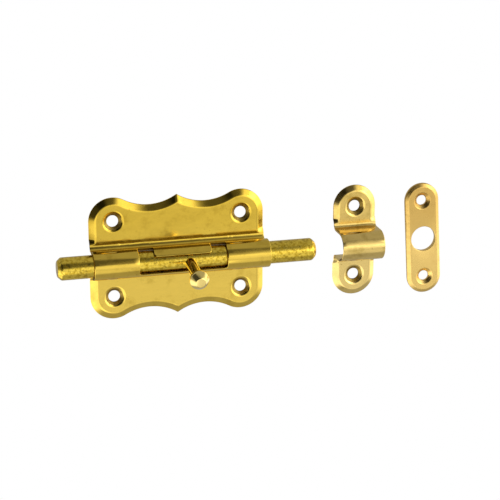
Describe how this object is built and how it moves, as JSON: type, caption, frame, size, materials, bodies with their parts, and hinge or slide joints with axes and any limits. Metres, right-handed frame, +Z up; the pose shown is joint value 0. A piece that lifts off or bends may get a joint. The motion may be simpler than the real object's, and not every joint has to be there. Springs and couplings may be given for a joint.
{
  "type": "barrel bolt latch",
  "caption": "Small barrel slide bolt on a scalloped backplate, with a separate arched keeper and a flat strike plate.",
  "frame": {"origin": "centre of the backplate's four screw holes, on the plane of the surface that it is screwed to", "axes": "+X is the way the bolt is shot, towards the keeper; +Y points into the mounting surface, so the front with the knob faces -Y; +Z is up across the bolt"},
  "size_m": [0.114, 0.0216, 0.0354],
  "materials": {
    "polished_brass_sheet": "polished and lacquered",
    "dull_brass_rod": "plated over a rough drawn rod, mottled",
    "polished_brass_turned": "turned and polished"
  },
  "bodies": {
    "plate": {"backplate": "polished_brass_sheet"},
    "bolt": {"bolt_rod": "dull_brass_rod"},
    "knob": {"knob": "polished_brass_turned"},
    "keeper": {"keeper": "polished_brass_sheet"},
    "strike": {"strike_plate": "polished_brass_sheet"}
  },
  "joints": [
    {"name": "bolt_slide", "type": "slide", "parent": "plate", "child": "bolt", "axis": [1, 0, 0], "range_m": [-0.0126, 0.0087]},
    {"name": "knob_turn", "type": "hinge", "parent": "bolt", "child": "knob", "pos_m": [0.00195, -0.0059, 0], "axis": [1, 0, 0], "range_deg": [-14, 4]},
    {"name": "keeper_distance", "type": "slide", "parent": "plate", "child": "keeper", "axis": [1, 0, 0], "range_m": [-0.0205, 0]},
    {"name": "strike_distance", "type": "slide", "parent": "plate", "child": "strike", "axis": [1, 0, 0], "range_m": [0, 0.02]}
  ]
}
